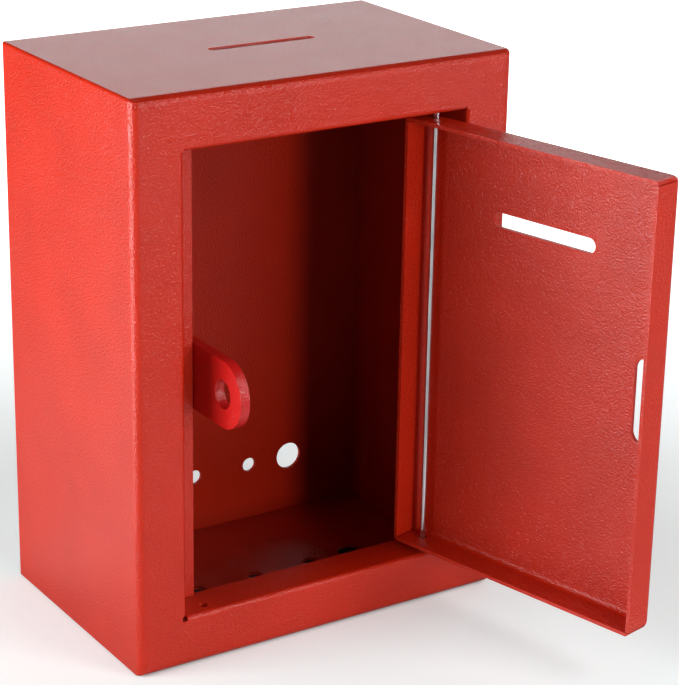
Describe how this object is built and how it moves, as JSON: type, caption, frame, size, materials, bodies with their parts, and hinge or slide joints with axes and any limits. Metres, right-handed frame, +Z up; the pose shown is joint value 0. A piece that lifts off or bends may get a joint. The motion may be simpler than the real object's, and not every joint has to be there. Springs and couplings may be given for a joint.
{
  "type": "donation box",
  "caption": "Wall or counter donation box in folded sheet steel, with a coin slot in its top and a padlockable tray door with a banknote slot, hinged on a long rod and standing open.",
  "frame": {"origin": "middle of the case's lower back edge: on the plane it stands on, at the wall plane, halfway across its width", "axes": "+Z up, +Y from the door side to the wall side, +X towards the hinge side, which is on the right seen from the front"},
  "size_m": [0.168, 0.2133, 0.23],
  "materials": {
    "red_powder_coat": "semi-gloss red powder coat with fine orange peel, on 1.5 mm sheet steel",
    "red_powder_coat_back": "semi-gloss red powder coat on the back sheet",
    "red_powder_coat_staple": "semi-gloss red powder coat on 4 mm plate",
    "zinc_plated_steel": "bright plated steel wire",
    "red_powder_coat_door": "semi-gloss red powder coat with fine orange peel, on 1.5 mm sheet steel"
  },
  "bodies": {
    "case": {"case_shell": "red_powder_coat", "back_panel": "red_powder_coat_back", "lock_staple": "red_powder_coat_staple", "hinge_rod": "zinc_plated_steel"},
    "door": {"door_panel": "red_powder_coat_door"}
  },
  "joints": [
    {"name": "door_hinge", "type": "hinge", "parent": "case", "child": "door", "pos_m": [0.0524, -0.101, 0.115], "axis": [0, 0, 1], "range_deg": [-103, 14]}
  ]
}
